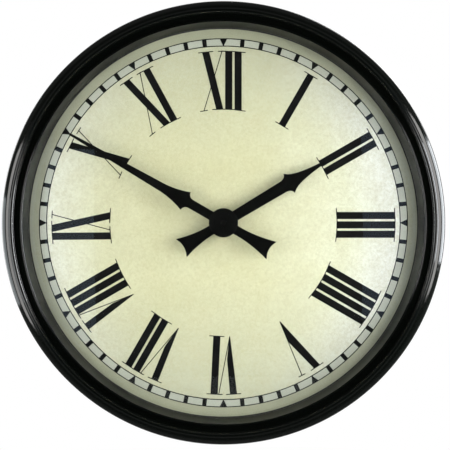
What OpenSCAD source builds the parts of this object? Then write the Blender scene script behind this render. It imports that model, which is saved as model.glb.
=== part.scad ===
// Round schoolhouse wall clock with a twelve inch dial, a pressed steel case and a battery movement.
// Seen from the front: X runs right, Z runs up, and +Y points into the wall.
// The origin is where the hand axis meets the wall. All lengths are in millimetres.
// Depths called d are distances from the wall towards the viewer.

/* [Case] */
// overall diameter of the black rim
case_d = 366; // [364:0.5:368]
// distance from the wall to the highest ridge of the rim
case_depth = 57; // [56:0.5:60]
// sheet thickness of the rim and of the back pan
sheet_t = 1.2; // [1:0.1:1.3]
// outer diameter of the drum behind the rim
drum_d = 300; // [300:2:320]
// side of the square access opening in the drum's back
access_w = 84; // [76:1:100]
// corner radius of the drum's back edge
drum_round = 5; // [2:0.5:6]
// how far the middle of the domed glass stands in front of its edge
glass_rise = 14; // [10:0.5:15]

/* [Dial] */
// diameter of the outer circle of the minute track
track_d = 304.8; // [300:0.2:306]
// radial height of the minute track
track_h = 6.1; // [4:0.1:8]
// thickness of a drawn hairline
hairline = 0.75; // [0.5:0.05:1]
// width of the thick numeral strokes
stroke_w = 5.9; // [4.5:0.1:6.2]
// inner end of the numerals, measured from the hand axis
numeral_r_in = 94; // [88:0.5:100]
// outer end of the numerals
numeral_r_out = 142; // [138:0.5:143]
// printed layer thickness
ink_t = 0.1; // [0.1:0.05:0.3]

/* [Hands] */
// reach of the minute hand's tip
minute_len = 147; // [140:0.5:150]
// reach of the hour hand's tip
hour_len = 98; // [92:0.5:104]
// minute hand angle at rest, clockwise from twelve
minute_rest = 300; // [0:0.1:360]
// hour hand angle at rest, clockwise from twelve
hour_rest = 59; // [0:0.1:360]
// thickness of the stamped hands
hand_t = 0.8; // [0.6:0.1:0.9]
// diameter of the disc over the minute hand's hub
boss_d = 24.2; // [20:0.2:28]

/* [Movement] */
// side of the square movement body
movement_w = 56; // [56:0.2:58]
// radial running clearance of arbors and pipes
run_gap = 0.05; // [0.03:0.01:0.08]
// arc taken off each gear tooth for backlash
backlash = 0.05; // [0.03:0.01:0.1]

/* [Hidden] */
$fn = 72;

// colours
enamel_black = [0.02, 0.02, 0.022];
rubber_black = [0.06, 0.06, 0.06];
plastic_black = [0.1, 0.1, 0.11];
cream = [0.86, 0.84, 0.7];
brass = [0.75, 0.6, 0.28];
zinc_steel = [0.56, 0.57, 0.59];
dark_steel = [0.12, 0.12, 0.12];
lamination = [0.6, 0.6, 0.63];
nickel = [0.78, 0.79, 0.8];
acetal = [0.92, 0.9, 0.84];
bearing_plastic = [0.85, 0.85, 0.8];

case_r = case_d / 2;
track_r = track_d / 2;
drum_r = drum_d / 2;

// depths through the case
dial_back = 27;
dial_t = 1;
dial_front = dial_back + dial_t;
glass_back = 38.2;
glass_t = 2.5;
glass_front = glass_back + glass_t;
gasket_t = 0.8;
lip_back = glass_front + gasket_t;
skirt_end = 20;

// radii through the case
skirt_r = case_r - 1.5;
liner_gap = 0.1;
inside_r = skirt_r - sheet_t - liner_gap;
lip_r = case_r - 21.8;
seal_r = lip_r - 1;
glass_r = case_r - 17.3;

// case screws, set radially through the skirt
screw_count = 4;
screw_d = 24;
screw_shank_r = 1.5;
screw_head_r = 3;
screw_head_t = 1.3;

// hanging keyhole
keyhole_z = 118;
keyhole_r = 5;
keyhole_slot_r = 2.5;
keyhole_rise = 12;
plate_w = 44;
plate_h = 40;
plate_t = 1.5;
rivet_r = 1.5;

// depths through the movement
housing_front = 26;
housing_floor = 24.5;
cover_in = 11.5;
cover_out = 10;
wall_t = 0.8;
train_back = 12;
train_front = 13.2;
pivot_d = 25.3;
plate_posts = [[-21, -9], [22.5, -9], [-21, 15.5], [10.6, 17.4]];
post_r = 1.3;
peg_r = 0.8;

// snap lugs of the housing and the tabs of the cover that catch them
lug_z = [-16, 16];
lug_t = 0.7;
lug_w = 3;
lug_d = [13, 14.6];

// dial fixing
bushing_r = 3.95;
bushing_top = 31.6;
nut_flats = 12;
nut_t = 2.9;

// hand stack
hour_plane = 34.8;
minute_plane = 37.7;
pipe_r = 2.5;
spindle_r = 1.7;
spindle_tip_r = 1.2;
arbor_r = 0.5;
setting_arbor_r = 1.2;
boss_t = 1.2;
hour_hub_r = 3.2;

// gear train: teeth, modules and arbor positions, seen from the front
teeth_centre = 64;
teeth_third_pinion = 8;
mod_centre = 2 * 11.4 / (64 + 8);
teeth_third = 60;
teeth_second_pinion = 8;
mod_third = 2 * 11.4 / (60 + 8);
teeth_second = 60;
teeth_inter_pinion = 10;
mod_second = 0.33;
teeth_inter = 60;
teeth_rotor = 12;
mod_inter = 0.22;
teeth_cannon = 12;
teeth_setting = 36;
mod_setting = 0.5;
teeth_setting_pinion = 10;
teeth_hour = 40;
mod_hour = 0.48;

function at(c, r, a) = [c[0] + r * cos(a), c[1] + r * sin(a)];
axis_centre = [0, 0];
third_angle = 5;
setting_angle = 165;
inter_angle = 70;
rotor_angle = 160;
axis_third = at(axis_centre, 11.4, third_angle);
axis_setting = at(axis_centre, 12, setting_angle);
axis_inter = at(axis_centre, mod_second * (teeth_second + teeth_inter_pinion) / 2, inter_angle);
axis_rotor = at(axis_inter, mod_inter * (teeth_inter + teeth_rotor) / 2, rotor_angle);

// back and front of each wheel
centre_level = [19.8, 20.6];
cannon_level = [21.2, 22.5];
hour_level = [23, 24.2];
setting_level = [21.4, 22.3];
setting_pinion_level = [22.3, 24.2];
third_level = [18.2, 19];
third_pinion_level = [19, 20.9];
second_level = [16.6, 17.4];
second_pinion_level = [17.4, 19.2];
inter_level = [15.1, 15.8];
inter_pinion_level = [15.8, 17.6];
rotor_pinion_level = [14.8, 16];
magnet_level = [13.5, 14.8];
knob_level = [6.6, 9.6];
knob_seat = 8.4;

// step motor
stator_back = 13.7;
stator_t = 0.8;
core_back = stator_back + stator_t;
core_front = core_back + stator_t;
core_z = 23.4;
core_x = [-15.5, 8.5];
coil_x = [-11.5, 4.5];
coil_screw_r = 0.7;
coil_screw_x = core_x + [1.5, -1.5];
magnet_r = 3;

// circuit board
board_back = 13.4;
board_t = 0.8;
board_posts = [[15.5, 24.6], [24.6, 14.5]];

// battery bay
cell_r = 7.1;
cell_d = 17.3;
cell_z = -19.4;
cell_x = [-25, 24.5];
cell_cap_t = 1;
bay_z = -11.1;

// contact strips, standing against the housing's side walls
strip_t = 0.3;
strip_x = 26.9;
strip_d = [13.6, 16];
strip_end_z = -14;

// Places a drawing made in the front view at depth d and lets it grow towards the viewer.
module front(d = 0)
    rotate([90, 0, 0])
        translate([0, 0, d])
            children();

module disc(r, d0, d1, c = [0, 0])
    front(d0)
        translate([c[0], c[1], 0])
            cylinder(h = d1 - d0, r = r);

module slab(x, z, d)
    front(d[0])
        translate([x[0], z[0], 0])
            cube([x[1] - x[0], z[1] - z[0], d[1] - d[0]]);

// Turns a profile of [radius, depth] points about the hand axis.
module turned(profile)
    front(0)
        rotate_extrude($fn = 72)
            polygon(profile);

module tube(r_in, r_out, d0, d1)
    turned([[r_in, d0], [r_out, d0], [r_out, d1], [r_in, d1]]);

function arc(c, r, a0, a1, n) =
    [for (i = [0 : n]) at(c, r, a0 + (a1 - a0) * i / n)];

// ---- gear teeth ----

pressure = 20;
addendum = 0.8;
dedendum = 1.05;
function inv(a) = tan(a) * 180 / PI - a;
// Half the angle a tooth covers at radius r.
function flank(z, m, x, r) =
    (90 + 360 / PI * x * tan(pressure)) / z - backlash / (m * z) * 180 / PI
    + inv(pressure) - inv(acos(min(1, m * z / 2 * cos(pressure) / r)));

// Involute outline of z teeth of module m and profile shift x, tooth 0 centred on the phase angle.
function gear_points(z, m, x, phase) =
    let (rb = m * z / 2 * cos(pressure),
        ra = m * (z / 2 + addendum + x),
        rf = m * (z / 2 - dedendum + x),
        r0 = max(rb, rf),
        foot = flank(z, m, x, r0) * 1.02,
        steps = 4)
    [for (t = [0 : z - 1])
        let (c = phase + 360 * t / z)
        for (p = concat(
            [at([0, 0], rf, c - foot)],
            [for (i = [0 : steps]) let (r = r0 + (ra - r0) * i / steps)
                at([0, 0], r, c - flank(z, m, x, r))],
            [for (i = [steps : -1 : 0]) let (r = r0 + (ra - r0) * i / steps)
                at([0, 0], r, c + flank(z, m, x, r))],
            [at([0, 0], rf, c + foot)]))
        p];

module gear(z, m, x, phase, d, c = [0, 0])
    front(d[0])
        translate([c[0], c[1], 0])
            linear_extrude(height = d[1] - d[0])
                polygon(gear_points(z, m, x, phase));

module bored_gear(z, m, x, phase, d, r)
    difference() {
        gear(z, m, x, phase, d);
        disc(r, d[0] - 1, d[1] + 1);
    }

// A wheel shows a tooth towards its pinion and the pinion shows a gap back.
function wheel_phase(a) = a;
function pinion_phase(a, z) = a + 180 + 180 / z;

// ---- case ----

// Outer face of the rim: lip, small bead, floor, crest, fillet, sloping band, roll and skirt.
ridge = case_depth;
lip_foot = [lip_r + 0.4, lip_back + 1.4];
lip_head = [case_r - 17.1, ridge - 6.1];
small_bead = [case_r - 15.9, ridge - 5.6];
small_bead_r = 1.1;
floor_d = ridge - 5.8;
corner_r = 0.6;
corner = [case_r - 10.05, floor_d + corner_r];
crest = [case_r - 7.3, ridge - 2.1];
crest_r = 2.1;
crest_in = 170;
crest_out = 48;
fillet_r = 1.6;
fillet = at(crest, crest_r + fillet_r, crest_out);
band_tilt = 78;
roll_r = 5.4;
roll = [case_r - roll_r, ridge - 6.4];
roll_start = 72;
tuck_r = 1.5;

function rim_face() = concat(
    [[lip_r, lip_back], [lip_r, lip_back + 0.8], lip_foot, lip_head],
    arc(small_bead, small_bead_r, 165, 5, 8),
    [[small_bead[0] + 1.3, floor_d]],
    arc(corner, corner_r, -88, -5, 4),
    arc(crest, crest_r, crest_in, crest_out, 10),
    arc(fillet, fillet_r, crest_out + 190, band_tilt + 180, 3),
    arc(roll, roll_r, roll_start, 0, 10),
    arc([case_r - tuck_r, roll[1]], tuck_r, -15, -75, 5),
    [[skirt_r, roll[1] - 2.4], [skirt_r, skirt_end]]);

// Back of the same sheet, from the skirt's rear edge to the lip.
function rim_inside() = concat(
    [[skirt_r - sheet_t, skirt_end], [skirt_r - sheet_t, roll[1] - 2]],
    arc(roll, roll_r - sheet_t, 0, roll_start, 6),
    arc(fillet, fillet_r + sheet_t, band_tilt + 180, crest_out + 185, 2),
    arc(crest, crest_r - sheet_t, crest_out, crest_in, 4),
    arc(corner, corner_r + sheet_t, -5, -88, 4),
    [[small_bead[0] + 1.2, floor_d - sheet_t], [lip_head[0] + 0.9, floor_d - sheet_t],
        [lip_foot[0] + 1.1, lip_foot[1] - 0.5], [lip_r + sheet_t, lip_back]]);

module screw_spots()
    for (i = [0 : screw_count - 1])
        rotate([0, 45 + 360 * i / screw_count, 0])
            children();

module radial_rod(r, from, to)
    translate([from, -screw_d, 0])
        rotate([0, 90, 0])
            cylinder(h = to - from, r = r);

module rim()
    color(enamel_black)
        difference() {
            turned(concat(rim_face(), rim_inside()));
            screw_spots()
                radial_rod(screw_shank_r + 0.1, inside_r - 2, case_r + 1);
        }

// Rubber ring between glass and lip; its edge shows as a dark line inside the lip.
module glass_gasket()
    color(rubber_black)
        tube(seal_r, glass_r, glass_front, lip_back);

// Domed glass with a flat edge that the lip hides.
module glass() {
    dome_r = seal_r - 0.1;
    steps = 16;
    ball_r = (dome_r * dome_r + glass_rise * glass_rise) / (2 * glass_rise);
    function rise(r) = sqrt(ball_r * ball_r - r * r) - (ball_r - glass_rise);
    color([0.85, 0.92, 0.92, 0.35])
        turned(concat(
            [for (i = [0 : steps]) let (r = dome_r * i / steps) [r, glass_back + rise(r)]],
            [[glass_r, glass_back], [glass_r, glass_front]],
            [for (i = [steps : -1 : 0]) let (r = dome_r * i / steps) [r, glass_front + rise(r)]]));
}

// Moulded ring that sets the glass and the dial apart and centres both in the rim.
module spacer_ring()
    color(rubber_black)
        turned([[seal_r + 1.9, dial_front], [inside_r, dial_front], [inside_r, dial_front + 2.5],
            [glass_r + 2.3, dial_front + 2.5], [glass_r + 2.3, glass_front],
            [glass_r + 0.1, glass_front], [glass_r + 0.1, glass_back],
            [seal_r + 1.9, glass_back]]);

module dial_plate()
    color(cream)
        tube(bushing_r + 0.1, inside_r - 0.1, dial_back, dial_front);

module back_pan() {
    wall_in = drum_r - sheet_t;
    flange_r = inside_r;
    color(enamel_black)
        difference() {
            turned(concat(
                [[0, 0], [drum_r - drum_round, 0]],
                arc([drum_r - drum_round, drum_round], drum_round, -80, -10, 7),
                [[drum_r, drum_round], [drum_r, dial_back - sheet_t],
                    [flange_r - sheet_t, dial_back - sheet_t], [flange_r - sheet_t, skirt_end + 1],
                    [flange_r, skirt_end + 1], [flange_r, dial_back], [wall_in, dial_back],
                    [wall_in, drum_round]],
                arc([drum_r - drum_round, drum_round], drum_round - sheet_t, -10, -80, 5),
                [[drum_r - drum_round, sheet_t], [0, sheet_t]]));
            slab([-access_w / 2, access_w / 2], [-access_w / 2, access_w / 2], [-1, sheet_t + 1]);
            keyhole_cut();
            rivet_spots()
                disc(rivet_r, -1, sheet_t + 1);
            screw_spots()
                radial_rod(screw_shank_r, inside_r - 4, case_r);
        }
}

module case_screws()
    color(dark_steel)
        screw_spots()
            difference() {
                union() {
                    radial_rod(screw_shank_r, inside_r - 5, skirt_r);
                    radial_rod(screw_head_r, skirt_r, skirt_r + screw_head_t);
                }
                translate([skirt_r + 0.6, -screw_d - 0.4, -screw_head_r])
                    cube([2, 0.8, 2 * screw_head_r]);
            }

// Round entry for the screw head and a narrow slot above it for the shank.
module keyhole_cut() {
    disc(keyhole_r, -1, sheet_t + plate_t + 1, [0, keyhole_z]);
    disc(keyhole_slot_r, -1, sheet_t + plate_t + 1, [0, keyhole_z + keyhole_rise]);
    slab([-keyhole_slot_r, keyhole_slot_r], [keyhole_z, keyhole_z + keyhole_rise],
        [-1, sheet_t + plate_t + 1]);
}

module rivet_spots()
    for (x = [-1, 1], z = [-1, 1])
        translate([x * (plate_w / 2 - 5), 0, keyhole_z + 4 + z * (plate_h / 2 - 5)])
            children();

module keyhole_plate()
    color(zinc_steel)
        difference() {
            slab([-plate_w / 2, plate_w / 2],
                [keyhole_z + 4 - plate_h / 2, keyhole_z + 4 + plate_h / 2],
                [sheet_t, sheet_t + plate_t]);
            keyhole_cut();
            rivet_spots()
                disc(rivet_r, 0, sheet_t + plate_t + 1);
        }

module keyhole_rivets()
    color(zinc_steel)
        rivet_spots() {
            disc(rivet_r, 0, sheet_t + plate_t);
            disc(rivet_r + 1.1, sheet_t + plate_t, sheet_t + plate_t + 1);
        }

// ---- dial print ----

// Strokes of each numeral, as [kind, top, foot, thin top, thin foot] across the numeral.
one = "I";
five = "V";
ten = "X";
pitch = 7.75;
function ones(n, x0) = [for (i = [0 : n - 1]) [one, x0 + i * pitch, x0 + i * pitch]];
numerals = [
    [[one, 1.6, 1.6]],
    ones(2, -pitch / 2 + 1.7),
    ones(3, -pitch + 1.7),
    ones(4, -1.5 * pitch + 1.2),
    [[five, -7.6, 0.4, 6.8]],
    [[five, -8.4, -5.2, 3.9], [one, 7.7, 5.4]],
    concat([[five, -15.7, -11.3, -2.8]], ones(2, 1.3)),
    concat([[five, -17.8, -14, -6.4]], ones(3, -2.7)),
    [[one, -11.2, -10.8], [ten, -4.6, 6, 6.9, -5.9]],
    [[ten, -7.7, 4.2, 6.2, -8.4]],
    [[ten, -11.1, 0.3, 2.3, -14.2], [one, 8.2, 7]],
    concat([[ten, -14.7, -3, -1.2, -16.1]], ones(2, 4.4))];

function on_arc(x, r) = sqrt(r * r - x * x);

module stroke(x_out, x_in, w)
    polygon([[x_out - w / 2, on_arc(x_out - w / 2, numeral_r_out)],
        [x_out + w / 2, on_arc(x_out + w / 2, numeral_r_out)],
        [x_in + w / 2, on_arc(x_in + w / 2, numeral_r_in)],
        [x_in - w / 2, on_arc(x_in - w / 2, numeral_r_in)]]);

module serif(x, r, reach)
    rotate(-asin(x / r))
        translate([-reach, r - hairline / 2])
            square([2 * reach, hairline]);

module letter(s) {
    wide = stroke_w / 2 + 3.3;
    narrow = 3.2;
    serif(s[1], numeral_r_out, wide);
    if (s[0] == one) {
        stroke(s[1], s[2], stroke_w);
        serif(s[2], numeral_r_in, wide);
    }
    if (s[0] == five) {
        polygon([[s[1] - stroke_w / 2, on_arc(s[1], numeral_r_out)],
            [s[1] + stroke_w / 2, on_arc(s[1], numeral_r_out)],
            [s[2] + 2.2, numeral_r_in + 19], [s[2] + 0.3, numeral_r_in],
            [s[2] - 0.3, numeral_r_in]]);
        polygon([[s[3] - hairline / 2, on_arc(s[3], numeral_r_out)],
            [s[3] + hairline / 2, on_arc(s[3], numeral_r_out)],
            [s[2] + 0.3, numeral_r_in], [s[2] - 0.3, numeral_r_in]]);
        serif(s[3], numeral_r_out, narrow);
    }
    if (s[0] == ten) {
        stroke(s[1], s[2], stroke_w);
        stroke(s[3], s[4], hairline);
        serif(s[2], numeral_r_in, wide);
        serif(s[3], numeral_r_out, narrow);
        serif(s[4], numeral_r_in, narrow);
    }
}

module ring_line(r)
    difference() {
        circle(r = r + hairline / 2);
        circle(r = r - hairline / 2);
    }

module minute_track() {
    bar_w = 3.5;
    mark_w = 6.2;
    inner = track_r - track_h;
    ring_line(inner);
    ring_line(track_r);
    for (i = [0 : 59])
        rotate(-6 * i)
            if (i % 5 == 0)
                polygon([[-mark_w / 2, track_r], [mark_w / 2, track_r], [0.2, inner], [-0.2, inner]]);
            else
                translate([-bar_w / 2, inner])
                    square([bar_w, track_h]);
}

module dial_print()
    color(enamel_black)
        front(dial_front)
            linear_extrude(height = ink_t) {
                minute_track();
                for (h = [0 : 11])
                    rotate(-30 * (h + 1))
                        for (s = numerals[h])
                            letter(s);
            }

// ---- hands ----

function both_sides(side) = concat(
    side, [for (i = [len(side) - 1 : -1 : 0]) [-side[i][0], side[i][1]]]);
function mix(a, b, t) = a + (b - a) * t;

// Right-hand side of a hand, from the hollow of its tail to its tip, as [half width, reach].
function tail_side(root, root_w, end, end_w, bite, power) = concat(
    [for (i = [0 : 4]) [end_w * 0.92 * (0.02 + i * 0.245), -end + bite * (1 - i * i / 16)]],
    [[end_w, -end]],
    [for (i = [1 : 7])
        let (t = 1 - i / 7)
        [root_w + (end_w - root_w) * pow(t, power), -root - (end - root) * t]]);

function barb_side(stem_w, stem_end, barb_w, barb) =
    [for (i = [0 : 5])
        let (a = 90 * i / 5)
        [stem_w + (barb_w - stem_w) * (1 - cos(a)), stem_end + (barb - stem_end) * sin(a)]];

function minute_side() = concat(
    tail_side(16.5, 3.8, 45.7, 8.3, 2.1, 1.75),
    barb_side(3.85, 31.3, 8.4, 36),
    [for (i = [1 : 10])
        [3.6 + 4.8 * pow(1 - i / 10, 1.9), 36 + 2.5 * i]],
    [[1, minute_len - 0.5], [0.5, minute_len]]);

function hour_side() = concat(
    tail_side(12, 4.04, 40.4, 8.7, 2, 1.95),
    barb_side(4.95, 57.6, 9.3, 63.3),
    [for (i = [1 : 12])
        let (t = i / 12.5)
        [1.3 + 5.2 * pow(1 - t, 1.7) + 2.8 * pow(1 - t, 9), mix(63.3, hour_len, t)]],
    [[1.2, hour_len - 0.6], [0.6, hour_len]]);

module hand_plate(side, d, turn, hole_r)
    front(d)
        rotate(-turn)
            linear_extrude(height = hand_t)
                difference() {
                    polygon(both_sides(side));
                    circle(r = hole_r);
                }

module minute_hand()
    color(enamel_black)
        hand_plate(minute_side(), minute_plane, minute_rest, spindle_r);

module hour_hand()
    color(enamel_black) {
        hand_plate(hour_side(), hour_plane, hour_rest, hour_hub_r);
        tube(hour_hub_r, 8, hour_plane, hour_plane + hand_t);
    }

// Brass bush riveted into the hour hand and pressed on the hour pipe.
module hour_bush() {
    collar = [4.4, 0.7];
    rivet = [4, 0.4];
    top = hour_plane + hand_t;
    color(brass)
        turned([[pipe_r, hour_plane - collar[1]], [collar[0], hour_plane - collar[1]],
            [collar[0], hour_plane], [hour_hub_r, hour_plane], [hour_hub_r, top], [rivet[0], top],
            [rivet[0], top + rivet[1]], [pipe_r, top + rivet[1]]]);
}

module minute_boss() {
    d0 = minute_plane + hand_t;
    color(enamel_black)
        turned([[spindle_tip_r, d0], [boss_d / 2, d0], [boss_d / 2, d0 + 0.3],
            [boss_d / 2 - 0.5, d0 + 0.7], [boss_d / 2 - 3, d0 + 1], [4, d0 + boss_t],
            [spindle_tip_r, d0 + boss_t]]);
}

module hand_nut() {
    d0 = minute_plane + hand_t + boss_t;
    color(enamel_black)
        turned([[0, d0 + 0.9], [spindle_tip_r, d0 + 0.9], [spindle_tip_r, d0], [2.2, d0],
            [2.2, d0 + 0.8], [1.5, d0 + 1.4], [0, d0 + 1.6]]);
}

// ---- movement case ----

module movement_housing() {
    half = movement_w / 2;
    inside = half - wall_t;
    color(plastic_black)
        difference() {
            union() {
                difference() {
                    slab([-half, half], [-half, half], [cover_in, housing_front]);
                    slab([-inside, inside], [-inside, inside], [cover_in - 1, housing_floor]);
                }
                slab([-inside + 0.5, inside - 0.5], [bay_z - wall_t, bay_z], [cover_in, housing_floor]);
                for (p = plate_posts) {
                    disc(post_r, train_front, housing_floor, p);
                    disc(peg_r, train_back, train_front, p);
                }
                for (x = coil_screw_x)
                    disc(1.5, core_front, housing_floor, [x, core_z]);
                for (p = board_posts)
                    disc(1.2, board_back + board_t, housing_floor, p);
                for (s = [-1, 1], z = lug_z)
                    slab([s * half - (s < 0 ? lug_t : 0), s * half + (s > 0 ? lug_t : 0)],
                        [z - lug_w / 2, z + lug_w / 2], lug_d);
            }
            disc(pipe_r + 1.2, housing_floor - 1, housing_front + 1);
            for (p = [axis_third, axis_inter, axis_rotor])
                disc(arbor_r + run_gap, housing_floor - 1, pivot_d + 0.1, p);
            disc(setting_arbor_r + run_gap, housing_floor - 1, pivot_d + 0.1, axis_setting);
            for (x = coil_screw_x)
                disc(coil_screw_r, stator_back, stator_back + 8, [x, core_z]);
        }
}

// Brass tube that carries the hour pipe and clamps the movement behind the dial.
module centre_bushing()
    color(brass)
        turned([[pipe_r + run_gap, housing_floor], [pipe_r + 1.2, housing_floor],
            [pipe_r + 1.2, housing_front], [bushing_r, housing_front], [bushing_r, bushing_top],
            [pipe_r + run_gap, bushing_top]]);

module rubber_washer()
    color(rubber_black)
        tube(bushing_r, 9, housing_front, dial_back);

module brass_washer()
    color(brass)
        tube(bushing_r, 7.5, dial_front, dial_front + 0.5);

module hex_nut()
    color(brass)
        front(dial_front + 0.5)
            difference() {
                cylinder(h = nut_t, r = nut_flats / 2 / cos(30), $fn = 6);
                translate([0, 0, -1])
                    cylinder(h = nut_t + 2, r = bushing_r);
            }

// Plate with the rear bearings of the train.
module train_plate()
    color(bearing_plastic)
        difference() {
            union() {
                slab([-23, 24.4], [-10.6, 10.4], [train_back, train_front]);
                slab([-23, 12.3], [10.4, 19.2], [train_back, train_front]);
            }
            for (p = [axis_third, axis_inter, axis_rotor, axis_centre])
                disc(arbor_r + run_gap, train_back - 1, train_front + 1, p);
            disc(setting_arbor_r + run_gap, train_back - 1, train_front + 1, axis_setting);
            for (p = plate_posts)
                disc(peg_r, train_back - 1, train_front + 1, p);
        }

module movement_cover() {
    half = movement_w / 2;
    tab = 0.8;
    color(plastic_black)
        difference() {
            union() {
                slab([-half, half], [-half, half], [cover_out, cover_in]);
                for (s = [-1, 1], z = lug_z)
                    slab([s > 0 ? half : -half - tab, s > 0 ? half + tab : -half],
                        [z - lug_w, z + lug_w], [cover_out, lug_d[1] + 1.4]);
            }
            slab([-26.4, 26.4], [-27, bay_z - wall_t], [cover_out - 1, cover_in + 1]);
            disc(setting_arbor_r + 0.2, cover_out - 1, cover_in + 1, axis_setting);
            for (s = [-1, 1], z = lug_z)
                slab([s * (half + tab / 2) - tab, s * (half + tab / 2) + tab],
                    [z - lug_w / 2, z + lug_w / 2], lug_d);
        }
}

// ---- step motor and electronics ----

module stator() {
    d = [stator_back, stator_back + stator_t];
    color(lamination)
        difference() {
            union() {
                slab(core_x, [8.8, 18.4], d);
                slab([core_x[0], core_x[0] + 3], [18.4, core_z + 1.6], d);
                slab([core_x[1] - 3, core_x[1]], [18.4, core_z + 1.6], d);
            }
            disc(magnet_r + 0.4, d[0] - 1, d[1] + 1, axis_rotor);
            disc(arbor_r + 0.8, d[0] - 1, d[1] + 1, axis_inter);
            for (x = coil_screw_x)
                disc(coil_screw_r, d[0] - 1, d[1] + 1, [x, core_z]);
        }
}

module coil_core()
    color(lamination)
        difference() {
            slab(core_x, [core_z - 1, core_z + 1], [core_back, core_front]);
            for (x = coil_screw_x)
                disc(coil_screw_r, stator_back, stator_back + 3, [x, core_z]);
        }

module along_coil(r, x0, x1)
    translate([x0, -(core_back + core_front) / 2, core_z])
        rotate([0, 90, 0])
            cylinder(h = x1 - x0, r = r);

module coil_bobbin()
    color(bearing_plastic)
        difference() {
            union() {
                along_coil(1.8, coil_x[0], coil_x[1]);
                along_coil(3.1, coil_x[0], coil_x[0] + 0.8);
                along_coil(3.1, coil_x[1] - 0.8, coil_x[1]);
            }
            slab([coil_x[0] - 1, coil_x[1] + 1], [core_z - 1, core_z + 1],
                [core_back, core_front]);
        }

module coil_winding()
    color([0.72, 0.36, 0.16])
        difference() {
            along_coil(2.9, coil_x[0] + 0.8, coil_x[1] - 0.8);
            along_coil(1.8, coil_x[0], coil_x[1]);
        }

module coil_screws()
    color(nickel)
        for (x = coil_screw_x)
            difference() {
                union() {
                    disc(1.4, stator_back - 0.8, stator_back, [x, core_z]);
                    disc(coil_screw_r, stator_back, stator_back + 6, [x, core_z]);
                }
                slab([x - 1.5, x + 1.5], [core_z - 0.2, core_z + 0.2],
                    [stator_back - 1, stator_back - 0.4]);
            }

module circuit_board()
    color([0.1, 0.36, 0.2])
        slab([13, 26.6], [12, 26.6], [board_back, board_back + board_t]);

module chip()
    color([0.03, 0.03, 0.03])
        disc(2.6, board_back - 1, board_back, [19.5, 21.5]);

module crystal()
    color(nickel)
        translate([16.5, -(board_back - 0.9), 15.2])
            rotate([0, 90, 0])
                cylinder(h = 6.2, r = 0.9);

// Strip up the right-hand wall with a round stud that meets the cell's cap.
module positive_contact() {
    stud = [2.2, 1.3];
    color(nickel) {
        slab([strip_x, strip_x + strip_t], [-25, strip_end_z], [12.5, 23]);
        slab([strip_x, strip_x + strip_t], [strip_end_z, 20], strip_d);
        translate([strip_x - stud[1], -cell_d, cell_z])
            rotate([0, 90, 0])
                cylinder(h = stud[1], r = stud[0]);
    }
}

// Strip round the left-hand wall, with a leaf bowed towards the flat end of the cell.
module negative_contact() {
    leaf_h = 11;
    ends = [12.5, 23.5];
    bow = 1.8;
    color(nickel) {
        translate([0, 0, -25])
            linear_extrude(height = leaf_h)
                polygon([[-strip_x - strip_t, -ends[0]], [-strip_x - strip_t, -ends[1]],
                    [-strip_x, -ends[1]], [-strip_x, -20.6], [-strip_x + bow, -18.2],
                    [-strip_x + bow, -16.4], [-26.2, -14.6], [-26.5, -14.8],
                    [-strip_x + bow - strip_t, -16.5], [-strip_x + bow - strip_t, -18.1],
                    [-strip_x, -20.1], [-strip_x, -ends[0]]]);
        slab([-strip_x - strip_t, -strip_x], [strip_end_z, strip_x + strip_t], strip_d);
        slab([-strip_x, 14], [strip_x, strip_x + strip_t], strip_d);
    }
}

// ---- gear train ----

module minute_spindle() {
    seat = minute_plane + hand_t;
    flange_r = 1.9;
    bore_end = 21.6;
    turned([[arbor_r + run_gap, centre_level[0]], [flange_r, centre_level[0]],
        [flange_r, cannon_level[1]], [spindle_r, cannon_level[1]], [spindle_r, seat],
        [spindle_tip_r, seat], [spindle_tip_r, seat + 2.1], [0, seat + 2.1], [0, bore_end],
        [arbor_r + run_gap, bore_end]]);
}

module centre_wheel()
    color(brass) {
        minute_spindle();
        bored_gear(teeth_centre, mod_centre, -0.5, wheel_phase(third_angle), centre_level, 1.6);
        bored_gear(teeth_cannon, mod_setting, 0.3,
            pinion_phase(setting_angle + 180, teeth_cannon), cannon_level, 1.6);
    }

module hour_wheel()
    color(acetal) {
        tube(spindle_r + run_gap, pipe_r, hour_level[0], hour_plane + hand_t + 0.5);
        bored_gear(teeth_hour, mod_hour, -0.4, wheel_phase(setting_angle), hour_level, 2.2);
    }

module setting_wheel()
    color(acetal) {
        disc(setting_arbor_r, knob_seat, pivot_d, axis_setting);
        gear(teeth_setting, mod_setting, -0.3, wheel_phase(setting_angle + 180), setting_level,
            axis_setting);
        gear(teeth_setting_pinion, mod_hour, 0.4,
            pinion_phase(setting_angle, teeth_setting_pinion), setting_pinion_level, axis_setting);
    }

module setting_knob() {
    ribs = 24;
    knob_r = 6;
    rib_h = 0.4;
    slot = [4, 0.6];
    color(plastic_black)
        difference() {
            front(knob_level[0])
                translate([axis_setting[0], axis_setting[1], 0])
                    linear_extrude(height = knob_level[1] - knob_level[0])
                        polygon([for (i = [0 : 2 * ribs - 1])
                            at([0, 0], knob_r - (i % 2) * rib_h, 180 * i / ribs)]);
            disc(setting_arbor_r, knob_seat, knob_level[1] + 1, axis_setting);
            slab([axis_setting[0] - slot[0], axis_setting[0] + slot[0]],
                [axis_setting[1] - slot[1], axis_setting[1] + slot[1]],
                [knob_level[0] - 1, knob_level[0] + 0.8]);
        }
}

module train_arbor(c, front_end = pivot_d)
    disc(arbor_r, train_back + 0.1, front_end, c);

module third_wheel()
    color(acetal) {
        train_arbor(axis_third);
        gear(teeth_third, mod_third, -0.5, wheel_phase(third_angle + 180), third_level, axis_third);
        gear(teeth_third_pinion, mod_centre, 0.5,
            pinion_phase(third_angle, teeth_third_pinion), third_pinion_level, axis_third);
    }

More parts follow.
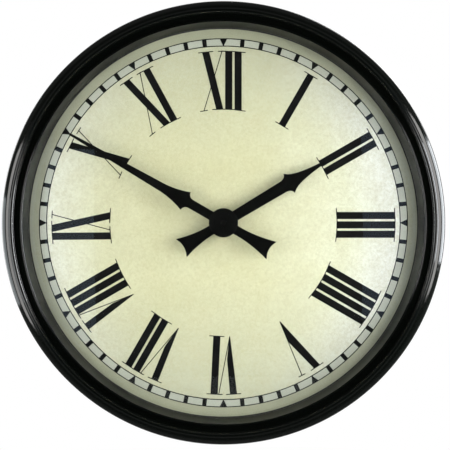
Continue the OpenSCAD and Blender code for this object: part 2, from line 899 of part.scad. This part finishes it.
// Turns on the hand axis, its front pivot in the bore of the minute spindle.
module second_wheel()
    color(acetal) {
        train_arbor(axis_centre, 21.4);
        gear(teeth_second, mod_second, -0.4, wheel_phase(inter_angle), second_level);
        gear(teeth_second_pinion, mod_third, 0.5,
            pinion_phase(third_angle + 180, teeth_second_pinion), second_pinion_level);
    }

module intermediate_wheel()
    color(acetal) {
        train_arbor(axis_inter);
        gear(teeth_inter, mod_inter, -0.3, wheel_phase(rotor_angle), inter_level, axis_inter);
        gear(teeth_inter_pinion, mod_second, 0.4,
            pinion_phase(inter_angle, teeth_inter_pinion), inter_pinion_level, axis_inter);
    }

module rotor_pinion()
    color(acetal) {
        train_arbor(axis_rotor);
        gear(teeth_rotor, mod_inter, 0.3, pinion_phase(rotor_angle, teeth_rotor),
            rotor_pinion_level, axis_rotor);
    }

module rotor_magnet()
    color([0.3, 0.3, 0.32])
        difference() {
            disc(magnet_r, magnet_level[0], magnet_level[1], axis_rotor);
            disc(arbor_r, magnet_level[0] - 1, magnet_level[1] + 1, axis_rotor);
        }

// ---- battery ----

module cell_rod(r, x0, x1)
    translate([x0, -cell_d, cell_z])
        rotate([0, 90, 0])
            cylinder(h = x1 - x0, r = r);

module battery_can()
    color([0.2, 0.22, 0.24])
        cell_rod(cell_r, cell_x[0], cell_x[1]);

module battery_cap()
    color(nickel)
        cell_rod(2.75, cell_x[1], cell_x[1] + cell_cap_t);

rim();
glass_gasket();
glass();
spacer_ring();
dial_plate();
dial_print();
back_pan();
case_screws();
keyhole_plate();
keyhole_rivets();
movement_housing();
centre_bushing();
rubber_washer();
brass_washer();
hex_nut();
train_plate();
stator();
coil_core();
coil_bobbin();
coil_winding();
coil_screws();
circuit_board();
chip();
crystal();
positive_contact();
negative_contact();
movement_cover();
centre_wheel();
minute_hand();
minute_boss();
hand_nut();
hour_wheel();
hour_hand();
hour_bush();
setting_wheel();
setting_knob();
third_wheel();
second_wheel();
intermediate_wheel();
rotor_pinion();
rotor_magnet();
battery_can();
battery_cap();
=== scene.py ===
"""Looks of the schoolhouse wall clock: materials, smooth pressings, studio light and camera."""

import math

import bmesh
import bpy
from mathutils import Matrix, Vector


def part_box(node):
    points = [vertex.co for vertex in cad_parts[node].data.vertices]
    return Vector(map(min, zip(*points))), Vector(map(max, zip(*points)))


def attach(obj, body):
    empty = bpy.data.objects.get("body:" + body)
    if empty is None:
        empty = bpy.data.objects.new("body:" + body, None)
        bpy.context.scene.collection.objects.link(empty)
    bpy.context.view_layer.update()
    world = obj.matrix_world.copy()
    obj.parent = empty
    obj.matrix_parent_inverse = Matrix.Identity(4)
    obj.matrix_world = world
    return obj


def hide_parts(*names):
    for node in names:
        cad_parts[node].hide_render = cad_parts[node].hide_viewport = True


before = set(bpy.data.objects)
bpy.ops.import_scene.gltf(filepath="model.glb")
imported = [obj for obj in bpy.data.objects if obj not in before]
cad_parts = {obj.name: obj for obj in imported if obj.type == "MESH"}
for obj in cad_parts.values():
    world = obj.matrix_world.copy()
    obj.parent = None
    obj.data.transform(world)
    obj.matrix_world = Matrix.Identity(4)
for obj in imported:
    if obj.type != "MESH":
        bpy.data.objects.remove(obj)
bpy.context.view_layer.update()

MM = 0.001


# ---------------------------------------------------------------- sizes taken from the frame

rim_lo, rim_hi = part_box("rim")
dial_lo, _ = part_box("dial_plate")
glass_lo, glass_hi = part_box("glass")

RIM_R = rim_hi.x
RIDGE = -rim_lo.y
SKIRT_END = -rim_hi.y
TUCK_R = 1.5 * MM
SKIRT_R = RIM_R - TUCK_R
LIP_R = RIM_R - 21.8 * MM
SEAL_R = LIP_R - 1.0 * MM
BEAD_R = RIM_R - 15.9 * MM
SHEET = 1.2 * MM
GLASS_R = glass_hi.x
GLASS_BACK = -glass_hi.y
GLASS_T = 2.5 * MM
GLASS_TOP = -glass_lo.y
GASKET_T = 0.8 * MM
LIP_BACK = GLASS_BACK + GLASS_T + GASKET_T
TRACK_R = 152.4 * MM
TRACK_H = 6.1 * MM
SHOULDER_X = 14 * MM


# ---------------------------------------------------------------- node material helpers

class Finish:
    """A node material with one Principled shader and short calls for what feeds it."""

    def __init__(self, name, metal=0.0, **fixed):
        self.mat = bpy.data.materials.new(name)
        self.mat.use_nodes = True
        self.tree = self.mat.node_tree
        self.tree.nodes.clear()
        self.out = self.tree.nodes.new("ShaderNodeOutputMaterial")
        self.bsdf = self.tree.nodes.new("ShaderNodeBsdfPrincipled")
        self.bsdf.inputs["Metallic"].default_value = metal
        for key, value in fixed.items():
            self.bsdf.inputs[key.replace("_", " ")].default_value = value
        self.link(self.bsdf.outputs["BSDF"], self.out.inputs["Surface"])
        self.place = self.node("TexCoord").outputs["Object"]

    def node(self, kind, **settings):
        made = self.tree.nodes.new("ShaderNode" + kind)
        for key, value in settings.items():
            setattr(made, key, value)
        return made

    def link(self, a, b):
        self.tree.links.new(a, b)

    def feed(self, socket, value):
        if isinstance(value, bpy.types.NodeSocket):
            self.link(value, socket)
        else:
            socket.default_value = value

    def noise(self, scale, detail=4.0, rough=0.55, stretch=(1, 1, 1), offset=(0, 0, 0)):
        at = self.node("Mapping")
        self.link(self.place, at.inputs["Vector"])
        at.inputs["Scale"].default_value = stretch
        at.inputs["Location"].default_value = offset
        made = self.node("TexNoise")
        self.link(at.outputs["Vector"], made.inputs["Vector"])
        made.inputs["Scale"].default_value = scale
        made.inputs["Detail"].default_value = detail
        made.inputs["Roughness"].default_value = rough
        return made.outputs["Fac"]

    def cells(self, scale):
        made = self.node("TexVoronoi")
        self.link(self.place, made.inputs["Vector"])
        made.inputs["Scale"].default_value = scale
        return made.outputs["Distance"]

    def math(self, op, a, b=0.0):
        made = self.node("Math", operation=op)
        self.feed(made.inputs[0], a)
        self.feed(made.inputs[1], b)
        return made.outputs[0]

    def span(self, value, lo, hi, out_lo=0.0, out_hi=1.0):
        made = self.node("MapRange", clamp=True)
        self.feed(made.inputs["Value"], value)
        made.inputs["From Min"].default_value = lo
        made.inputs["From Max"].default_value = hi
        made.inputs["To Min"].default_value = out_lo
        made.inputs["To Max"].default_value = out_hi
        return made.outputs["Result"]

    def mix(self, fac, a, b):
        made = self.node("Mix", data_type="RGBA")
        self.feed(made.inputs[0], fac)
        for socket, value in ((made.inputs[6], a), (made.inputs[7], b)):
            self.feed(socket, value if isinstance(value, bpy.types.NodeSocket) else (*value, 1))
        return made.outputs[2]

    def radius(self):
        """Distance from the hand axis, in metres."""
        square = self.math("ADD", self.math("POWER", self.axis(0), 2.0),
                           self.math("POWER", self.axis(2), 2.0))
        return self.math("SQRT", square)

    def axis(self, index):
        """Place along x, y or z (0, 1 or 2), in metres."""
        parts = self.node("SeparateXYZ")
        self.link(self.place, parts.inputs[0])
        return parts.outputs[index]

    def colour(self, value):
        self.feed(self.bsdf.inputs["Base Color"],
                  value if isinstance(value, bpy.types.NodeSocket) else (*value, 1))

    def rough(self, value):
        self.feed(self.bsdf.inputs["Roughness"], value)

    def bump(self, height, strength, distance=0.0001, under=None):
        made = self.node("Bump")
        made.inputs["Strength"].default_value = strength
        made.inputs["Distance"].default_value = distance
        self.link(height, made.inputs["Height"])
        if under is not None:
            self.link(under, made.inputs["Normal"])
        self.link(made.outputs["Normal"], self.bsdf.inputs["Normal"])
        return made.outputs["Normal"]


def paint(node, finish):
    """Gives a carried-over CAD node a finish, in every slot it has."""
    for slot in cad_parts[node].material_slots:
        slot.link = "OBJECT"
        slot.material = finish.mat


# ---------------------------------------------------------------- finishes

def black_enamel():
    """Stoved gloss black with faint orange peel and dust; the lip inside the bead is rubbed dull."""
    f = Finish("gloss_black_enamel", IOR=1.47)
    cloud = f.noise(14, 5)
    f.colour(f.mix(cloud, (0.0007, 0.0013, 0.0008), (0.0018, 0.0025, 0.0018)))
    wipe = f.noise(60, 6, 0.7, stretch=(1, 1, 3))
    dust = f.span(f.cells(420), 0.0, 0.16, 1.0, 0.0)
    gloss = f.math("ADD", f.span(wipe, 0.35, 0.75, 0.06, 0.16), f.math("MULTIPLY", dust, 0.08))
    lip_rough, lip_shine, full_shine = 0.22, 0.34, 0.5
    lip = f.span(f.radius(), BEAD_R - 0.9 * MM, BEAD_R - 0.5 * MM, lip_rough, 0.0)
    f.feed(f.bsdf.inputs["Specular IOR Level"], f.span(lip, 0.0, lip_rough, full_shine, lip_shine))
    f.rough(f.math("ADD", gloss, lip))
    peel = f.bump(f.noise(380, 2), 0.04, 0.0002)
    f.bump(f.noise(40, 3), 0.04, 0.0006, peel)
    return f


def satin_enamel():
    """Thin black enamel of the drum, scuffed in long streaks."""
    f = Finish("satin_black_enamel")
    f.colour(f.mix(f.noise(20, 6), (0.011, 0.011, 0.012), (0.021, 0.021, 0.022)))
    scuff = f.noise(90, 8, 0.75, stretch=(4, 1, 0.6))
    f.rough(f.span(scuff, 0.3, 0.75, 0.32, 0.55))
    f.bump(f.noise(900, 3), 0.12, 0.0002)
    return f


def dial_enamel():
    """Cream enamel, freckled, grey in the track, with painted light paler at the sides and painted shade
    darker at top, foot and outer ring.
    """
    f = Finish("aged_cream_enamel")
    # The near-white margin colour is a painted highlight, and the toned colour a painted shade.
    painted_highlight_white, painted_shade_cream, tan = (0.950, 0.965, 0.920), (0.500, 0.515, 0.395), (0.56, 0.50, 0.27)
    grain_brown, freckle = (0.46, 0.43, 0.24), (0.34, 0.27, 0.13)
    # The outer ring colour is a print tone that also carries painted shadow.
    track_grey, outer_ring_print_and_shadow = (0.47, 0.49, 0.42), (0.36, 0.365, 0.25)
    r = f.radius()
    cloud = f.noise(7.5, 3, 0.5, offset=(0.3, 0, 0.1))
    blotch = f.noise(30, 6, 0.6)
    grain = f.noise(520, 4, 0.7)
    fresh = f.mix(f.span(blotch, 0.3, 0.7), (0.645, 0.630, 0.395), (0.690, 0.672, 0.440))
    aged_and_shaded = f.mix(f.span(blotch, 0.35, 0.65), (0.600, 0.575, 0.330), (0.650, 0.630, 0.385))
    painted_light_cream = f.mix(f.span(blotch, 0.3, 0.7), (0.775, 0.785, 0.610), (0.815, 0.830, 0.670))
    # Painted shade: higher up the dial the cream is mixed further towards the darker aged colour, on top
    # of the random toning.
    painted_shade_upward = f.span(f.axis(2), -0.04, 0.13)
    age_and_top_shade = f.math("MULTIPLY", f.math("ADD", f.span(cloud, 0.3, 0.7), painted_shade_upward), 0.5)
    base = f.mix(age_and_top_shade, fresh, aged_and_shaded)
    # Painted light: the cream turns paler towards both sides, more so towards the right.
    painted_light_right_bias = f.math("MULTIPLY", f.axis(0), 0.3)
    painted_light_aside = f.span(f.math("ADD", f.math("ABSOLUTE", f.axis(0)), painted_light_right_bias), 0.04, 0.15)
    base = f.mix(f.math("MULTIPLY", painted_light_aside, 0.85), base, painted_light_cream)
    # Painted highlight: near white between the numerals and the track, towards the sides.
    painted_highlight_margin = f.math("MULTIPLY", painted_light_aside, f.span(r, 0.105, 0.140))
    base = f.mix(f.math("MULTIPLY", painted_highlight_margin, 0.85), base, painted_highlight_white)
    # Painted shade: the cream darkens towards top and foot.
    tall = f.span(f.math("ABSOLUTE", f.axis(2)), 0.05, 0.15)
    base = f.mix(f.math("MULTIPLY", tall, 0.75), base, painted_shade_cream)
    base = f.mix(f.span(f.noise(95, 5, 0.65), 0.40, 0.72, 0.0, 0.22), base, tan)
    base = f.mix(f.span(grain, 0.40, 0.72, 0.0, 0.46), base, grain_brown)
    speck = f.span(f.cells(110), 0.0, 0.050, 0.8, 0.0)
    rare = f.span(f.noise(26, 2), 0.52, 0.60)
    base = f.mix(f.math("MULTIPLY", speck, rare), base, freckle)
    inner = f.math("GREATER_THAN", r, TRACK_R - TRACK_H)
    outer = f.math("LESS_THAN", r, TRACK_R)
    band = f.math("MULTIPLY", inner, outer)
    base = f.mix(f.math("MULTIPLY", band, 0.8), base, track_grey)
    # Outside the track the cream turns a darker olive: a print tone with the lip's painted shadow in it.
    edge = f.math("GREATER_THAN", r, TRACK_R)
    base = f.mix(f.math("MULTIPLY", edge, 0.8), base, outer_ring_print_and_shadow)
    behind = f.math("GREATER_THAN", f.axis(1), dial_lo.y + 0.5 * MM)
    primer = f.mix(blotch, (0.150, 0.155, 0.150), (0.215, 0.220, 0.210))
    f.colour(f.mix(behind, base, primer))
    f.rough(f.span(grain, 0.3, 0.7, 0.46, 0.60))
    f.bump(grain, 0.08, 0.0001)
    return f


def dial_ink():
    """Printed black, slightly uneven."""
    f = Finish("dial_ink", IOR=1.25)
    f.colour(f.mix(f.noise(160, 5), (0.0007, 0.0008, 0.0007), (0.0026, 0.0028, 0.0024)))
    f.rough(f.span(f.noise(300, 4), 0.3, 0.7, 0.38, 0.56))
    f.bump(f.noise(700, 3), 0.12, 0.00005)
    return f


def hand_enamel():
    """Semi-gloss black of the stamped hands."""
    f = Finish("hand_black_enamel", IOR=1.22)
    f.colour(f.mix(f.noise(70, 5), (0.0006, 0.0007, 0.0005), (0.0019, 0.0019, 0.0016)))
    f.rough(f.span(f.noise(220, 5, 0.7), 0.3, 0.7, 0.28, 0.44))
    f.bump(f.noise(650, 3), 0.10, 0.0001)
    return f


def clear_glass():
    """Clear glass that lets the lamps through to the dial."""
    f = Finish("clear_glass", IOR=1.37, Transmission_Weight=1.0)
    smear = f.noise(18, 6, 0.75, stretch=(1, 1, 2.5))
    f.colour(f.mix(f.span(smear, 0.3, 0.8), (0.985, 0.992, 0.988), (0.960, 0.972, 0.965)))
    f.rough(f.span(smear, 0.45, 0.85, 0.0, 0.03))
    clear = f.node("BsdfTransparent")
    clear.inputs["Color"].default_value = (0.93, 0.94, 0.935, 1)
    path = f.node("LightPath")
    mix = f.node("MixShader")
    f.link(path.outputs["Is Shadow Ray"], mix.inputs[0])
    f.link(f.bsdf.outputs["BSDF"], mix.inputs[1])
    f.link(clear.outputs["BSDF"], mix.inputs[2])
    f.link(mix.outputs[0], f.out.inputs["Surface"])
    return f


def moulded(name, dark, light, rough_lo, rough_hi, grain=600, depth=0.18, **fixed):
    """Moulded plastic or rubber: fine spark-eroded grain, soft flow clouds and rubbed patches."""
    f = Finish(name, **fixed)
    f.colour(f.mix(f.noise(35, 5), dark, light))
    f.rough(f.span(f.noise(120, 6, 0.7), 0.3, 0.75, rough_lo, rough_hi))
    f.bump(f.noise(grain, 2), depth, 0.0001)
    return f


def metal(name, dark, light, rough_lo, rough_hi, stretch=(1, 1, 1), scale=260, depth=0.08, **fixed):
    """Bare or plated metal with drawn lines or a rolled surface, and tarnish in clouds."""
    f = Finish(name, metal=1.0, **fixed)
    f.colour(f.mix(f.span(f.noise(45, 6, 0.6), 0.3, 0.7), dark, light))
    line = f.noise(scale, 6, 0.7, stretch=stretch)
    f.rough(f.span(line, 0.3, 0.75, rough_lo, rough_hi))
    f.bump(line, depth, 0.00008)
    return f


def copper_winding():
    """Turns of enamelled wire lying side by side."""
    f = Finish("enamelled_copper", metal=1.0)
    wave = f.node("TexWave", wave_type="BANDS", bands_direction="X", wave_profile="SIN")
    f.link(f.place, wave.inputs["Vector"])
    wave.inputs["Scale"].default_value = 900
    wave.inputs["Distortion"].default_value = 1.5
    wave.inputs["Detail"].default_value = 2
    turns = wave.outputs["Fac"]
    f.colour(f.mix(turns, (0.30, 0.10, 0.035), (0.80, 0.36, 0.14)))
    f.rough(f.span(turns, 0, 1, 0.42, 0.24))
    f.bump(turns, 0.5, 0.00008)
    return f


def board_mask():
    """Green solder mask with tracks showing through and small tinned pads."""
    f = Finish("solder_mask", Coat_Weight=0.3, Coat_Roughness=0.15)
    brick = f.node("TexBrick")
    at = f.node("Mapping")
    f.link(f.place, at.inputs["Vector"])
    at.inputs["Rotation"].default_value = (math.radians(90), 0, 0)
    f.link(at.outputs["Vector"], brick.inputs["Vector"])
    brick.inputs["Scale"].default_value = 260
    brick.inputs["Mortar Size"].default_value = 0.10
    brick.inputs["Color1"].default_value = (0.018, 0.110, 0.050, 1)
    brick.inputs["Color2"].default_value = (0.024, 0.135, 0.062, 1)
    brick.inputs["Mortar"].default_value = (0.050, 0.220, 0.100, 1)
    pad = f.span(f.cells(330), 0.10, 0.14, 1.0, 0.0)
    f.colour(f.mix(pad, brick.outputs["Color"], (0.62, 0.62, 0.60)))
    f.rough(f.span(f.noise(300, 4), 0.3, 0.7, 0.25, 0.42))
    f.bump(brick.outputs["Fac"], 0.3, 0.00005)
    return f


def cell_jacket():
    """Plain two-tone jacket: dark can, copper-coloured shoulder at the positive end."""
    f = Finish("cell_jacket", Coat_Weight=0.5, Coat_Roughness=0.12)
    shoulder = f.math("GREATER_THAN", f.axis(0), SHOULDER_X)
    away = f.math("ABSOLUTE", f.math("SUBTRACT", f.axis(0), SHOULDER_X))
    line = f.math("LESS_THAN", away, 0.3 * MM)
    tone = f.mix(shoulder, (0.020, 0.024, 0.028), (0.46, 0.20, 0.075))
    tone = f.mix(line, tone, (0.55, 0.56, 0.57))
    rub = f.noise(150, 6, 0.75, stretch=(0.4, 2, 2))
    f.colour(f.mix(f.span(rub, 0.58, 0.80, 0.0, 0.35), tone, (0.30, 0.30, 0.30)))
    f.rough(f.span(rub, 0.3, 0.7, 0.22, 0.42))
    f.bump(f.noise(500, 3), 0.06, 0.0001)
    return f


ENAMEL = black_enamel()
BACK_ENAMEL = satin_enamel()
CREAM = dial_enamel()
INK = dial_ink()
HANDS = hand_enamel()
GLASS = clear_glass()
RUBBER = moulded("black_rubber", (0.012, 0.012, 0.012), (0.024, 0.024, 0.023), 0.62, 0.82, 350, 0.3)
BLACK_PLASTIC = moulded("black_plastic", (0.012, 0.012, 0.013), (0.024, 0.024, 0.026), 0.36, 0.56)
LINER_PLASTIC = moulded("liner_plastic", (0.010, 0.010, 0.010), (0.018, 0.018, 0.017), 0.42, 0.60)
ACETAL = moulded("natural_acetal", (0.62, 0.60, 0.52), (0.74, 0.72, 0.65), 0.30, 0.48, 500, 0.10,
                 Subsurface_Weight=0.08, Subsurface_Scale=0.001)
BEARING = moulded("bearing_acetal", (0.50, 0.49, 0.44), (0.60, 0.59, 0.54), 0.36, 0.52, 420, 0.14)
EPOXY = moulded("chip_epoxy", (0.006, 0.006, 0.006), (0.016, 0.016, 0.016), 0.22, 0.40, 900, 0.25)
BRASS = metal("turned_brass", (0.50, 0.33, 0.11), (0.78, 0.57, 0.24), 0.18, 0.36, (1, 6, 1))
STEEL = metal("zinc_steel", (0.36, 0.37, 0.38), (0.58, 0.59, 0.60), 0.28, 0.50, (1, 1, 5))
DARK_STEEL = metal("blackened_steel", (0.035, 0.035, 0.037), (0.10, 0.10, 0.105), 0.30, 0.52)
LAMINATION = metal("electrical_steel", (0.30, 0.30, 0.31), (0.46, 0.46, 0.47), 0.34, 0.52, (5, 1, 1))
NICKEL = metal("nickel_plate", (0.52, 0.51, 0.47), (0.72, 0.71, 0.68), 0.14, 0.32, (3, 1, 1))
MAGNET = metal("sintered_magnet", (0.06, 0.06, 0.065), (0.14, 0.14, 0.15), 0.46, 0.66, scale=900,
               depth=0.3)
COPPER = copper_winding()
BOARD = board_mask()
JACKET = cell_jacket()

NODE_FINISH = {
    "rim": ENAMEL, "glass": GLASS, "glass_gasket": RUBBER, "spacer_ring": LINER_PLASTIC,
    "dial_plate": CREAM, "dial_print": INK, "back_pan": BACK_ENAMEL, "case_screws": DARK_STEEL,
    "keyhole_plate": STEEL, "keyhole_rivets": STEEL, "movement_housing": BLACK_PLASTIC,
    "centre_bushing": BRASS, "rubber_washer": RUBBER, "brass_washer": BRASS, "hex_nut": BRASS,
    "train_plate": BEARING, "stator": LAMINATION, "coil_core": LAMINATION, "coil_bobbin": BEARING,
    "coil_winding": COPPER, "coil_screws": NICKEL, "circuit_board": BOARD, "chip": EPOXY,
    "crystal": NICKEL, "positive_contact": NICKEL, "negative_contact": NICKEL,
    "movement_cover": BLACK_PLASTIC, "centre_wheel": BRASS, "minute_hand": HANDS,
    "minute_boss": HANDS, "hand_nut": HANDS, "hour_wheel": ACETAL, "hour_hand": HANDS,
    "hour_bush": BRASS, "setting_wheel": ACETAL, "setting_knob": BLACK_PLASTIC,
    "third_wheel": ACETAL, "second_wheel": ACETAL, "intermediate_wheel": ACETAL,
    "rotor_pinion": ACETAL, "rotor_magnet": MAGNET, "battery_can": JACKET, "battery_cap": NICKEL,
}
for node_name, node_finish in NODE_FINISH.items():
    paint(node_name, node_finish)


# ---------------------------------------------------------------- turned pieces

def at(centre, r, angle):
    a = math.radians(angle)
    return (centre[0] + r * math.cos(a), centre[1] + r * math.sin(a))


def arc(centre, r, a0, a1, n):
    """Points of an arc, angles in degrees, both ends included."""
    return [at(centre, r, a0 + (a1 - a0) * i / n) for i in range(n + 1)]


def lathe(name, profile, finish, sides=384, crease=35):
    """Turns a closed outline of (radius, depth) about the hand axis, smooth but for its creases."""
    count = len(profile)
    pts, faces = [], []
    for k in range(sides):
        a = 2 * math.pi * k / sides
        pts += [(r * math.cos(a), -d, r * math.sin(a)) for r, d in profile]
    for k in range(sides):
        here, there = k * count, (k + 1) % sides * count
        for i in range(count):
            j = (i + 1) % count
            faces.append((here + i, here + j, there + j, there + i))
    mesh = bpy.data.meshes.new(name)
    mesh.from_pydata(pts, [], faces)
    mesh.validate()
    mesh.update()
    clean(mesh)
    mesh.shade_smooth()
    mesh.set_sharp_from_angle(angle=math.radians(crease))
    obj = bpy.data.objects.new(name, mesh)
    bpy.context.scene.collection.objects.link(obj)
    mesh.materials.append(finish.mat)
    return obj


def clean(mesh):
    """Merges points that fall together, such as those on the axis, and turns the faces outwards."""
    work = bmesh.new()
    work.from_mesh(mesh)
    bmesh.ops.remove_doubles(work, verts=work.verts, dist=1e-7)
    bmesh.ops.dissolve_degenerate(work, edges=work.edges, dist=1e-8)
    bmesh.ops.recalc_face_normals(work, faces=work.faces)
    work.to_mesh(mesh)
    work.free()


def rim_outline():
    """The CAD rim's section, with its bead, floor, crest, fillet, roll and tuck drawn finely."""
    bead, bead_r = (BEAD_R, RIDGE - 5.6 * MM), 1.1 * MM
    lip_head = (RIM_R - 17.1 * MM, RIDGE - 6.1 * MM)
    lip_edge, lip_edge_r = (LIP_R + 0.8 * MM, LIP_BACK + 0.9 * MM), 0.75 * MM
    floor = RIDGE - 5.8 * MM
    corner_r = 0.6 * MM
    corner = (RIM_R - 10.05 * MM, floor + corner_r)
    crest_r, crest_in, crest_out = 2.1 * MM, 170, 48
    crest = (RIM_R - 7.3 * MM, RIDGE - crest_r)
    fillet_r, band_tilt = 1.6 * MM, 78
    fillet = at(crest, crest_r + fillet_r, crest_out)
    roll_r, roll_start = 5.4 * MM, 72
    roll = (RIM_R - roll_r, RIDGE - 6.4 * MM)
    tuck = (RIM_R - TUCK_R, roll[1])
    chamfer = 0.4 * MM
    face = [(LIP_R, LIP_BACK), (LIP_R, LIP_BACK + 0.8 * MM)]
    face += arc(lip_edge, lip_edge_r, 172, 150, 4)
    face += [lip_head]
    face += arc(bead, bead_r, 160, 5, 28)
    face += [(bead[0] + 1.3 * MM, floor), (bead[0] + 3.0 * MM, floor - 0.03 * MM)]
    face += arc(corner, corner_r, -89, -5, 10)
    face += arc(crest, crest_r, crest_in, crest_out, 40)
    face += arc(fillet, fillet_r, crest_out + 184, band_tilt + 180, 10)
    face += arc(roll, roll_r, roll_start, 0, 40)
    face += arc(tuck, TUCK_R, -8, -75, 12)
    face += [(SKIRT_R, roll[1] - 2.4 * MM), (SKIRT_R, SKIRT_END + chamfer)]
    face += [(SKIRT_R - chamfer, SKIRT_END)]
    inside = [(SKIRT_R - SHEET, SKIRT_END), (SKIRT_R - SHEET, roll[1] - 2 * MM)]
    inside += arc(roll, roll_r - SHEET, 0, roll_start, 12)
    inside += arc(fillet, fillet_r + SHEET, band_tilt + 180, crest_out + 185, 4)
    inside += arc(crest, crest_r - SHEET, crest_out, crest_in, 8)
    inside += arc(corner, corner_r + SHEET, -5, -88, 8)
    inside += [(bead[0] + 1.2 * MM, floor - SHEET), (lip_head[0] + 0.9 * MM, floor - SHEET),
               (LIP_R + 1.5 * MM, LIP_BACK + 0.9 * MM), (LIP_R + SHEET, LIP_BACK)]
    return face + inside


def glass_outline(steps=40):
    """The CAD glass's section: a dome with a flat edge under the lip."""
    dome_r = SEAL_R - 0.1 * MM
    rise = GLASS_TOP - GLASS_BACK - GLASS_T
    ball = (dome_r * dome_r + rise * rise) / (2 * rise)

    def sag(r):
        return math.sqrt(ball * ball - r * r) - (ball - rise)

    radii = [dome_r * i / steps for i in range(steps + 1)]
    back = [(r, GLASS_BACK + sag(r)) for r in radii]
    front = [(r, GLASS_BACK + GLASS_T + sag(r)) for r in reversed(radii)]
    return back + [(GLASS_R, GLASS_BACK), (GLASS_R, GLASS_BACK + GLASS_T)] + front


rim_shell = lathe("rim_shell", rim_outline(), ENAMEL)
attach(rim_shell, "case")
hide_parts("rim")

glass_dome = lathe("glass_dome", glass_outline(), GLASS, sides=256)
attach(glass_dome, "case")
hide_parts("glass")


# ---------------------------------------------------------------- studio

def look_at(obj, target):
    obj.rotation_euler = (Vector(target) - obj.location).to_track_quat("-Z", "Y").to_euler()


def softbox(name, place, target, width, height, power, tint=(1, 1, 1)):
    data = bpy.data.lights.new(name, "AREA")
    data.shape = "RECTANGLE"
    data.size = width
    data.size_y = height
    data.energy = power
    data.color = tint
    obj = bpy.data.objects.new(name, data)
    bpy.context.scene.collection.objects.link(obj)
    obj.location = place
    look_at(obj, target)
    obj.visible_camera = False
    return obj


DIAL_CENTRE = (0, dial_lo.y, 0)


def around(azimuth, distance, height):
    """A place around the clock; azimuth 0 is in front of it and 90 is to its right."""
    a = math.radians(azimuth)
    return (distance * math.sin(a), dial_lo.y - distance * math.cos(a), height)


def panel(name, azimuth, distance, height, width, tall, radiance, tint=(1, 1, 1)):
    """A softbox given by the brightness of its face, so that its reflection is known."""
    power = radiance * math.pi * width * tall
    return softbox(name, around(azimuth, distance, height), DIAL_CENTRE, width, tall, power, tint)


WARM, COOL = (1.0, 0.99, 0.97), (0.92, 0.96, 1.0)
panel("key_right", azimuth=48, distance=0.46, height=0.03, width=0.14, tall=0.30, radiance=7.9, tint=WARM)
panel("side_right", azimuth=90, distance=0.9, height=0.09, width=0.95, tall=0.52, radiance=15.0, tint=COOL)
panel("veil_right", azimuth=22.5, distance=1.5, height=0.05, width=0.16, tall=0.80, radiance=0.35,
      tint=(0.70, 0.92, 1.3))
panel("key_left", azimuth=-48, distance=0.46, height=-0.02, width=0.14, tall=0.30, radiance=6.5, tint=WARM)
panel("side_left", azimuth=-90, distance=0.9, height=-0.12, width=0.95, tall=0.46, radiance=4.0,
      tint=(0.90, 0.97, 1.0))
panel("veil_left", azimuth=-21.5, distance=1.5, height=-0.08, width=0.18, tall=0.70, radiance=0.45,
      tint=(0.75, 0.95, 1.2))
FILL_SIDE = 0.9
softbox("fill_back_high", (0.9, 1.3, 0.9), (0, 0, 0), FILL_SIDE, FILL_SIDE, power=16.0)
softbox("fill_back_low", (-1.1, 1.1, 0.1), (0, 0, 0), FILL_SIDE, FILL_SIDE, power=9.0)


def studio_world():
    """White behind the object for the camera; for the light a dim room, darkest in front."""
    darkest, room_level = 0.01, 0.20
    world = bpy.data.worlds.new("studio")
    bpy.context.scene.world = world
    world.use_nodes = True
    tree = world.node_tree
    tree.nodes.clear()
    out = tree.nodes.new("ShaderNodeOutputWorld")
    room = tree.nodes.new("ShaderNodeBackground")
    room.inputs["Color"].default_value = (0.96, 1.0, 0.97, 1)
    way = tree.nodes.new("ShaderNodeTexCoord")
    split = tree.nodes.new("ShaderNodeSeparateXYZ")
    dim = tree.nodes.new("ShaderNodeMapRange")
    tree.links.new(way.outputs["Generated"], split.inputs[0])
    tree.links.new(split.outputs["Y"], dim.inputs["Value"])
    dim.inputs["From Min"].default_value = -1.0
    dim.inputs["From Max"].default_value = -0.5
    dim.inputs["To Min"].default_value = darkest
    dim.inputs["To Max"].default_value = room_level
    tree.links.new(dim.outputs[0], room.inputs["Strength"])
    paper = tree.nodes.new("ShaderNodeBackground")
    paper.inputs["Color"].default_value = (1, 1, 1, 1)
    paper.inputs["Strength"].default_value = 1.0
    path = tree.nodes.new("ShaderNodeLightPath")
    mix = tree.nodes.new("ShaderNodeMixShader")
    tree.links.new(path.outputs["Is Camera Ray"], mix.inputs[0])
    tree.links.new(room.outputs[0], mix.inputs[1])
    tree.links.new(paper.outputs[0], mix.inputs[2])
    tree.links.new(mix.outputs[0], out.inputs["Surface"])


def pale_floor(radius=1.1, level=-0.45):
    """A floor for the oblique views, kept out of the clock's reflections."""
    f = Finish("pale_floor")
    f.colour(f.mix(f.noise(3, 4), (0.78, 0.78, 0.77), (0.84, 0.84, 0.83)))
    f.rough(f.span(f.noise(30, 4), 0.3, 0.7, 0.6, 0.8))
    f.bump(f.noise(200, 3), 0.05, 0.0002)
    bpy.ops.mesh.primitive_circle_add(vertices=96, radius=radius, fill_type="NGON",
                                      location=(0, 0, level))
    floor = bpy.context.object
    floor.name = "floor"
    floor.data.materials.append(f.mat)
    floor.visible_glossy = False


studio_world()
pale_floor()

CAMERA_FAR = 6.0
CAMERA_X, CAMERA_Z = 1.3 * MM, -1.8 * MM
FRAME_WIDTH = 371 * MM
SENSOR = 36
camera_data = bpy.data.cameras.new("camera")
camera_data.sensor_width = SENSOR
camera_data.lens = SENSOR * CAMERA_FAR / FRAME_WIDTH
camera_data.clip_end = 50
camera = bpy.data.objects.new("camera", camera_data)
bpy.context.scene.collection.objects.link(camera)
camera.location = (CAMERA_X, -RIDGE - CAMERA_FAR, CAMERA_Z)
camera.rotation_euler = (math.radians(90), 0, 0)
bpy.context.scene.camera = camera
bpy.context.scene.view_settings.view_transform = "Standard"
